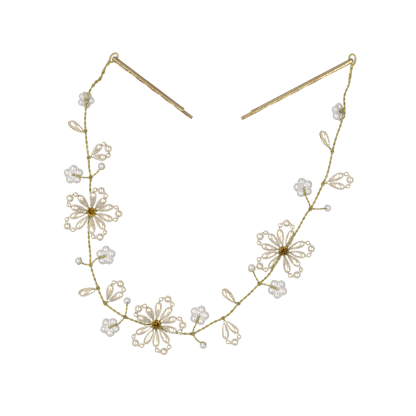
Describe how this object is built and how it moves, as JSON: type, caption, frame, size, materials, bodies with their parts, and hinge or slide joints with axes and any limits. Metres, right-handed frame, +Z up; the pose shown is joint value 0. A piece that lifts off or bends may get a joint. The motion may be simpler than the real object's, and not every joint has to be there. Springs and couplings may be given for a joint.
{
  "type": "hair vine with two hairpins",
  "caption": "Bridal hair vine lying flat in a U: pearl flowers, sprigs, leaves, moulded blossoms and buds on twisted gold wire, with a hairpin linked through a wire ring at each end.",
  "frame": {"origin": "middle of the outline, on the surface that the vine lies on", "axes": "+Z up from the surface, +Y towards the two pins (up in the picture), +X to the right of the picture"},
  "size_m": [0.1408, 0.1455, 0.0108],
  "materials": {
    "ivory_pearl": "ivory imitation-pearl coating, satin gloss",
    "white_pearl": "white imitation-pearl coating, satin gloss",
    "gold_wire": "polished, greenish gold lacquer",
    "dark_gold_wire": "polished, deep gold lacquer",
    "pin_metal": "pale gold plating, polished"
  },
  "bodies": {
    "root": {"pin_left": "pin_metal", "pin_right": "pin_metal", "vine_wire": "gold_wire", "flower_left_thread": "gold_wire", "flower_low_thread": "gold_wire", "flower_right_thread": "gold_wire", "flower_left_centre": "dark_gold_wire", "flower_low_centre": "dark_gold_wire", "flower_right_centre": "dark_gold_wire", "flower_left_petal_1": "ivory_pearl", "flower_left_petal_2": "ivory_pearl", "flower_left_petal_3": "ivory_pearl", "flower_left_petal_4": "ivory_pearl", "flower_left_petal_5": "ivory_pearl", "flower_low_petal_1": "ivory_pearl", "flower_low_petal_2": "ivory_pearl", "flower_low_petal_3": "ivory_pearl", "flower_low_petal_4": "ivory_pearl", "flower_low_petal_5": "ivory_pearl", "flower_right_petal_1": "ivory_pearl", "flower_right_petal_2": "ivory_pearl", "flower_right_petal_3": "ivory_pearl", "flower_right_petal_4": "ivory_pearl", "flower_right_petal_5": "ivory_pearl", "sprig_1": "ivory_pearl", "sprig_2": "ivory_pearl", "sprig_3": "ivory_pearl", "sprig_4": "ivory_pearl", "leaf_1": "ivory_pearl", "leaf_2": "ivory_pearl", "leaf_3": "ivory_pearl", "leaf_4": "ivory_pearl", "blossom_1": "white_pearl", "blossom_2": "white_pearl", "blossom_3": "white_pearl", "blossom_4": "white_pearl", "blossom_5": "white_pearl", "blossom_6": "white_pearl", "blossom_7": "white_pearl", "blossom_8": "white_pearl", "bud_1": "white_pearl", "bud_2": "white_pearl", "bud_3": "white_pearl", "bud_4": "white_pearl", "bud_5": "white_pearl", "bud_6": "white_pearl"}
  },
  "joints": []
}
